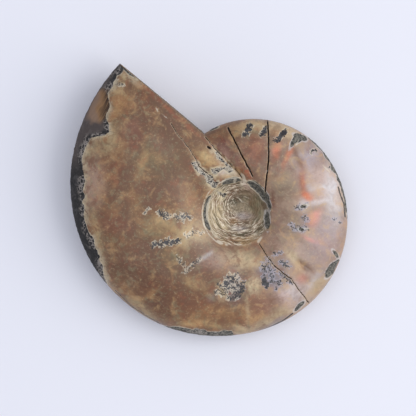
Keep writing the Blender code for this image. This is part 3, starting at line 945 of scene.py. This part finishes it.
box_low, box_high = (np.array(corner) * 1000.0 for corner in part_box("ammonite"))
leaned = points @ LEAN.T
shift = (box_low + box_high - leaned.min(axis=0) - leaned.max(axis=0)) / 2.0
shift[2] = -leaned[:, 2].min() - FLAT_DEPTH
shaped = shaped @ LEAN.T + shift
shaped[:, 2] = np.maximum(shaped[:, 2], 0.0)
fossil.data.vertices.foreach_set("co", (shaped * MILLIMETRE).ravel())
fossil.data.update()
bpy.ops.object.shade_smooth_by_angle(angle=math.radians(SOFT_ANGLE))

# ---------------------------------------------------------------------------------------------------------
# The polished stone itself. The painted tint is broken up by noise through the stone, and each kind of
# marking is laid over it, in the order in which it cuts the ones before.

STONES = {
    "iron": "63402a", "honey": "b98a56", "brown": "6d462c", "straw": "c09a66", "rust": "91502f",
    "olive": "7f7858", "peat": "523c29", "bone": "cfb98f",
    "flake_gap": "3e3725", "bleached_and_lit_flake": "dfd3bd",
    "soot": "1d1819", "dark_grey": "3b3939", "cream_calcite": "d2c6ad", "blue_calcite": "9290a4",
    "crumbs": "b3a284", "crumb_specks": "4a4741", "pale_rim": "bdb094", "grey_rim": "b4b1b4",
    "black_mud": "0f0e0d", "dark_mud": "272422", "grey_veins": "5a5654", "brown_mud_and_sheen": "5c504b",
    "shale": "302f2c", "pale_shale": "787469", "lace": "b2a79d",
    "shadowed_dark_calcite": "2e1a0c", "brown_calcite": "82603f", "gold_calcite": "a17d55", "mauve_calcite": "7a675c",
    "pale_chip_and_highlight": "cbc0ab", "dark_crystal": "151213", "pale_crystal": "8f8676", "crystal_rim": "d6ccba",
    "seam_halo": "cbbd9c", "crack_lip": "bfa583", "crack": "2a1c17",
    "mouth_mud": "57462f", "mouth_tan": "7d6549", "mouth_brown": "6d5a48", "mouth_veins": "a39786",
    "inner_wall": "94602f", "shell_wall": "b8a583",
}
STAINS = (  # noise, where it is held back, the noise's value where it starts and is full, strength, colour
    ("clouds", "busy", 0.5, 0.34, 0.52, "iron"),
    ("clouds", "calm", 0.52, 0.68, 0.3, "honey"),
    ("mottle", "busy", 0.5, 0.34, 0.62, "brown"),
    ("mottle", "calm", 0.5, 0.72, 0.42, "straw"),
    ("veins", "both", 0.54, 0.7, 0.3, "rust"),
    ("veins", "both", 0.46, 0.34, 0.35, "olive"),
    ("fleck", "busy", 0.47, 0.32, 0.3, "peat"),
    ("fleck", "calm", 0.56, 0.7, 0.22, "bone"),
)
POLISH = (0.3, 0.2)  # least roughness, and what the mottling adds to it
WORN_ROUGHNESS = 0.4  # added where nothing is polished
COAT = 0.3
COAT_ROUGHNESS = 0.18
PIT_STRENGTH = 0.15  # of fine pits
PIT_DEPTH = 0.0002
FRAY = 0.35  # small tears in the markings' borders
CRACK_FRAY = 0.4  # share of them in the cracks'

material = bpy.data.materials.new("polished_fossil")
material.use_nodes = True
tree = material.node_tree
shader = tree.nodes["Principled BSDF"]


def add_node(kind, inputs, **settings):
    """A node with its settings and inputs, which may be values or other nodes' outputs."""
    made = tree.nodes.new(kind)
    for key, value in settings.items():
        setattr(made, key, value)
    for key, value in inputs.items():
        if isinstance(value, bpy.types.NodeSocket):
            tree.links.new(value, made.inputs[key])
        else:
            made.inputs[key].default_value = value
    return made


def field(name, output="Fac"):
    """What the mesh keeps at its points under a name."""
    return add_node("ShaderNodeAttribute", {}, attribute_name=name).outputs[output]


def step_up(value, low, high):
    """A smooth step from 0 at the low value to 1 at the high one, which may be the smaller."""
    inputs = {"Value": value, "From Min": low, "From Max": high}
    return add_node("ShaderNodeMapRange", inputs, interpolation_type="SMOOTHSTEP").outputs["Result"]


def work_out(operation, first, second):
    """The sum, product or larger of two values, by the operation's name."""
    return add_node("ShaderNodeMath", {0: first, 1: second}, operation=operation).outputs[0]


def both(first, second):
    """High only where both values are."""
    return work_out("MULTIPLY", first, second)


def stone_noise(scale, detail, roughness, distortion=0.0):
    """Noise through the stone, finer for a larger scale."""
    look = {"Scale": scale, "Detail": detail, "Roughness": roughness, "Distortion": distortion}
    return add_node("ShaderNodeTexNoise", {"Vector": in_stone, **look}).outputs["Fac"]


def stone_cells(scale, feature="F1"):
    """Cells through the stone, with crooked walls, finer for a larger scale."""
    return add_node("ShaderNodeTexVoronoi", {"Vector": wobbly, "Scale": scale}, feature=feature).outputs


def stone(name):
    """One of the stone's colours, as a socket takes it."""
    return (*linear(STONES[name]), 1.0)


def cover(amount, strength, under, over):
    """A colour, given by name, or another mix, laid over one by an amount and a strength."""
    over = stone(over) if isinstance(over, str) else over
    share = both(amount, strength)
    return add_node("ShaderNodeMix", {0: share, 6: under, 7: over}, data_type="RGBA").outputs[2]


in_stone = add_node("ShaderNodeTexCoord", {}).outputs["Object"]
across, up, _ = add_node("ShaderNodeSeparateXYZ", {"Vector": in_stone}).outputs
clouds = stone_noise(110.0, 3.0, 0.55, 0.8)  # from broad to fine
mottle = stone_noise(260.0, 4.0, 0.65, 0.6)
veins = stone_noise(420.0, 3.0, 0.6, 0.8)
fleck = stone_noise(1300.0, 3.0, 0.7)
wobble = add_node("ShaderNodeTexNoise", {"Vector": in_stone, "Scale": 900.0, "Detail": 2.0}).outputs["Color"]
wobbly = {0: wobble, 1: (0.0012, 0.0012, 0.0012), 2: in_stone}
wobbly = add_node("ShaderNodeVectorMath", wobbly, operation="MULTIPLY_ADD").outputs[0]
flakes = {"Vector": field("drawn_out", "Vector"), "Scale": 1.7, "Detail": 4.0, "Roughness": 0.7}
flakes = add_node("ShaderNodeTexNoise", flakes).outputs["Fac"]
fray = both(work_out("SUBTRACT", stone_noise(2200.0, 2.0, 0.6), 0.5), FRAY)
bare_edge = work_out("ADD", field("bare"), fray)
suture_edge = work_out("ADD", field("suture"), fray)
pale_edge = work_out("ADD", field("pale"), fray)
seam_edge = work_out("ADD", field("seam"), fray)
crack_edge = work_out("ADD", field("crack"), both(fray, CRACK_FRAY))
in_umbilicus = field("umbilicus")
mouth_face = field("mouth_face")


def paint_stains(base):
    """Clouds, mottles, veins and flecks: dark ones fade at the right edge, pale ones in the umbilicus."""
    noises = {"clouds": clouds, "mottle": mottle, "veins": veins, "fleck": fleck}
    calm = work_out("SUBTRACT", 1.0, both(in_umbilicus, 0.8))
    busy = work_out("ADD", 0.35, both(step_up(across, 0.034, 0.01), 0.65))
    limits = {"calm": calm, "busy": busy, "both": both(busy, calm)}
    for noise, limit, start, full, strength, colour in STAINS:
        base = cover(both(step_up(noises[noise], start, full), limits[limit]), strength, base, colour)
    return base


def paint_flakes(base):
    """The umbilicus's flakes: dark gaps, and bleached faces outside its middle, partly painted light on the
    bowl's lit side.
    """
    base = cover(both(step_up(flakes, 0.48, 0.38), in_umbilicus), 0.7, base, "flake_gap")
    return cover(both(step_up(flakes, 0.5, 0.62), field("bleached_and_lit")), 0.9, base, "bleached_and_lit_flake")


def paint_sutures(base):
    """Dark mudstone in the sutures, in a halo of calcite that is bluish at the lower right."""
    halo = both(step_up(suture_edge, -0.24, -0.08), step_up(veins, 0.4, 0.55))
    bluish = both(step_up(across, 0.007, 0.014), step_up(up, 0.012, 0.006))
    base = cover(halo, 0.65, base, cover(bluish, 0.8, stone("cream_calcite"), "blue_calcite"))
    mud = cover(step_up(veins, 0.42, 0.58), 1.0, stone("soot"), "dark_grey")
    return cover(step_up(suture_edge, -0.06, 0.06), 1.0, base, mud)


def paint_worn_margin(base):
    """The thinned shell beside bare rock: crumbs and specks on the left, and a pale rim all round."""
    crumbling = both(step_up(bare_edge, -2.3, -0.4), step_up(mottle, 0.4, 0.56))
    crumbling = both(crumbling, step_up(across, -0.018, -0.026))
    base = cover(crumbling, 0.75, base, "crumbs")
    base = cover(both(crumbling, step_up(fleck, 0.45, 0.36)), 0.6, base, "crumb_specks")
    rim = both(step_up(bare_edge, -0.45, -0.12), step_up(veins, 0.36, 0.5))
    return cover(rim, 0.7, base, cover(step_up(across, 0.012, 0.02), 0.7, stone("pale_rim"), "grey_rim"))


def paint_mudstone():
    """Bare mudstone: near black on the left, browner and lighter along its outer strip, partly as painted
    sheen, grey elsewhere, and laced.
    """
    mud = cover(step_up(fleck, 0.35, 0.65), 1.0, stone("black_mud"), "dark_mud")
    mud = cover(step_up(veins, 0.52, 0.66), 0.4, mud, "grey_veins")
    # Partly painted sheen: the outer strip is lightened where the rounded edge shines
    outer_strip = both(step_up(bare_edge, 0.8, 3.0), step_up(up, 0.008, 0.016))
    mud = cover(outer_strip, 0.55, mud, "brown_mud_and_sheen")
    shale = cover(step_up(fleck, 0.36, 0.64), 1.0, stone("shale"), "pale_shale")
    mud = cover(step_up(across, -0.03, -0.026), 1.0, mud, shale)
    lace = step_up(stone_cells(850.0, "DISTANCE_TO_EDGE")["Distance"], 0.17, 0.08)
    lace = both(lace, step_up(mottle, 0.47, 0.55))
    laced = work_out("MAXIMUM", step_up(across, -0.026, -0.03), step_up(up, -0.037, -0.039))
    lace = both(both(lace, laced), step_up(bare_edge, 3.0, 0.8))
    return cover(lace, 0.55, mud, "lace")


def paint_calcite():
    """The brown calcite of a chamber, dark beside the shell, partly as painted shadow of the shell's edge,
    and mauve at the outer edge.
    """
    calcite = cover(step_up(bare_edge, 0.4, 4.2), 1.0, stone("shadowed_dark_calcite"), "brown_calcite")
    calcite = cover(step_up(flakes, 0.45, 0.62), 0.45, calcite, "gold_calcite")
    return cover(step_up(bare_edge, 3.0, 5.5), 0.6, calcite, "mauve_calcite")


def paint_crystals(base):
    """A crust of small crystals, dark or pale with bright rims, in a pale halo."""
    crystal_tone = add_node("ShaderNodeSeparateColor", {"Color": stone_cells(1400.0)["Color"]}).outputs["Red"]
    crust = cover(step_up(crystal_tone, 0.54, 0.6), 1.0, stone("dark_crystal"), "pale_crystal")
    rims = step_up(stone_cells(1400.0, "DISTANCE_TO_EDGE")["Distance"], 0.07, 0.02)
    crust = cover(rims, 0.8, crust, "crystal_rim")
    halo = both(step_up(seam_edge, -1.1, -0.1), step_up(mottle, 0.38, 0.5))
    base = cover(halo, 0.6, base, "seam_halo")
    return cover(step_up(seam_edge, -0.1, 0.15), 0.95, base, crust)


def paint_mouth(base):
    """The ground mouth: brown mudstone inside a thin wall of shell."""
    mud = cover(step_up(fleck, 0.35, 0.65), 1.0, stone("mouth_mud"), "mouth_tan")
    mud = cover(step_up(clouds, 0.48, 0.66), 0.45, mud, "mouth_brown")
    mud = cover(step_up(veins, 0.62, 0.7), 0.5, mud, "mouth_veins")
    base = cover(step_up(mouth_face, 0.02, 0.25), 0.8, base, "inner_wall")
    base = cover(step_up(mouth_face, 0.4, 0.7), 0.9, base, "shell_wall")
    return cover(step_up(mouth_face, 0.8, 1.0), 1.0, base, mud)


def finish_surface():
    """Polished with a clear coat on the shell; rough on bare rock, in the umbilicus and on the mouth."""
    unpolished = work_out("MAXIMUM", step_up(bare_edge, -0.05, 0.05), in_umbilicus)
    unpolished = work_out("MAXIMUM", unpolished, mouth_face)
    roughness = work_out("ADD", POLISH[0], both(mottle, POLISH[1]))
    roughness = work_out("ADD", roughness, both(unpolished, WORN_ROUGHNESS))
    tree.links.new(roughness, shader.inputs["Roughness"])
    coat = both(work_out("SUBTRACT", 1.0, unpolished), step_up(seam_edge, 0.1, -0.1))
    tree.links.new(both(coat, COAT), shader.inputs["Coat Weight"])
    shader.inputs["Coat Roughness"].default_value = COAT_ROUGHNESS
    pits = add_node("ShaderNodeBump", {"Height": fleck, "Strength": PIT_STRENGTH, "Distance": PIT_DEPTH})
    tree.links.new(pits.outputs["Normal"], shader.inputs["Normal"])


base = paint_stains(field("tint", "Color"))
base = paint_flakes(base)
base = paint_sutures(base)
base = paint_worn_margin(base)
bare_rock = cover(field("calcite"), 1.0, paint_mudstone(), paint_calcite())
base = cover(step_up(bare_edge, -0.06, 0.06), 1.0, base, bare_rock)
base = cover(step_up(pale_edge, -0.1, 0.14), 0.65, base, "pale_chip_and_highlight")
base = paint_crystals(base)
base = cover(step_up(crack_edge, -0.3, -0.08), 0.35, base, "crack_lip")
base = cover(step_up(crack_edge, -0.07, 0.04), 1.0, base, "crack")
base = paint_mouth(base)
tree.links.new(base, shader.inputs["Base Color"])
finish_surface()
fossil.data.materials.append(material)
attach(fossil, "root")
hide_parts("ammonite")

# ---------------------------------------------------------------------------------------------------------
# The floor. The fossil lies loose on one wide board, painted a pale cool white and matt, which takes its
# soft shadow. The board belongs to the setting and not to the fossil.

FLOOR_SIZE = 3.0
BOARD_COLOUR = (0.758, 0.760, 0.808, 1.0)
BOARD_ROUGHNESS = 0.9

bpy.ops.mesh.primitive_plane_add(size=FLOOR_SIZE, location=(0.0, 0.0, 0.0))
floor = bpy.context.object
floor.name = "floor"
board = bpy.data.materials.new("pale_board")
board.use_nodes = True
board_shader = board.node_tree.nodes["Principled BSDF"]
board_shader.inputs["Base Color"].default_value = BOARD_COLOUR
board_shader.inputs["Roughness"].default_value = BOARD_ROUGHNESS
floor.data.materials.append(board)

# ---------------------------------------------------------------------------------------------------------
# The light. A wide softbox stands to the right, about as high as it is far off, and lights the whorl from
# that side. A larger one hangs overhead, and the pale room fills the shadows with a cool light.

LIGHTS = (  # name, width and height, place, power, colour
    ("window", (1.0, 1.1), (0.80, -0.02, 0.66), 6.7, (1.0, 0.99, 0.97)),
    ("ceiling", (1.6, 1.6), (0.05, 0.0, 1.3), 4.6, (0.93, 0.96, 1.0)),
)
LIGHT_AIM = (0.0, 0.0, 0.0)
ROOM_COLOUR = (0.86, 0.89, 1.0, 1.0)
ROOM_STRENGTH = 0.7


def add_light(name, size, place, power, colour):
    """A softbox at a place, turned to face the fossil's foot."""
    lamp = bpy.data.lights.new(name, "AREA")
    lamp.shape = "RECTANGLE"
    lamp.size, lamp.size_y = size
    lamp.energy = power
    lamp.color = colour
    holder = bpy.data.objects.new(name, lamp)
    bpy.context.scene.collection.objects.link(holder)
    holder.location = place
    holder.rotation_euler = (Vector(LIGHT_AIM) - Vector(place)).to_track_quat("-Z", "Y").to_euler()


for light in LIGHTS:
    add_light(*light)
world = bpy.data.worlds.new("studio")
world.use_nodes = True
world.node_tree.nodes["Background"].inputs["Color"].default_value = ROOM_COLOUR
world.node_tree.nodes["Background"].inputs["Strength"].default_value = ROOM_STRENGTH
bpy.context.scene.world = world

# ---------------------------------------------------------------------------------------------------------
# The camera. It looks straight down on the fossil from a stand, far enough off that the flank shows with
# little perspective. Its lens is worked out from how wide a square the picture takes in.

CAMERA_DISTANCE = 0.700
CAMERA_AIM = (-0.0004, -0.0025, 0.013)
FIELD = 0.138  # width of the square at the fossil
SENSOR_WIDTH = 36.0

camera_data = bpy.data.cameras.new("camera")
camera = bpy.data.objects.new("camera", camera_data)
bpy.context.scene.collection.objects.link(camera)
camera.location = (CAMERA_AIM[0], CAMERA_AIM[1], CAMERA_AIM[2] + CAMERA_DISTANCE)
camera_data.sensor_width = SENSOR_WIDTH
camera_data.lens = SENSOR_WIDTH * CAMERA_DISTANCE / FIELD
bpy.context.scene.camera = camera
bpy.context.scene.view_settings.view_transform = "Standard"
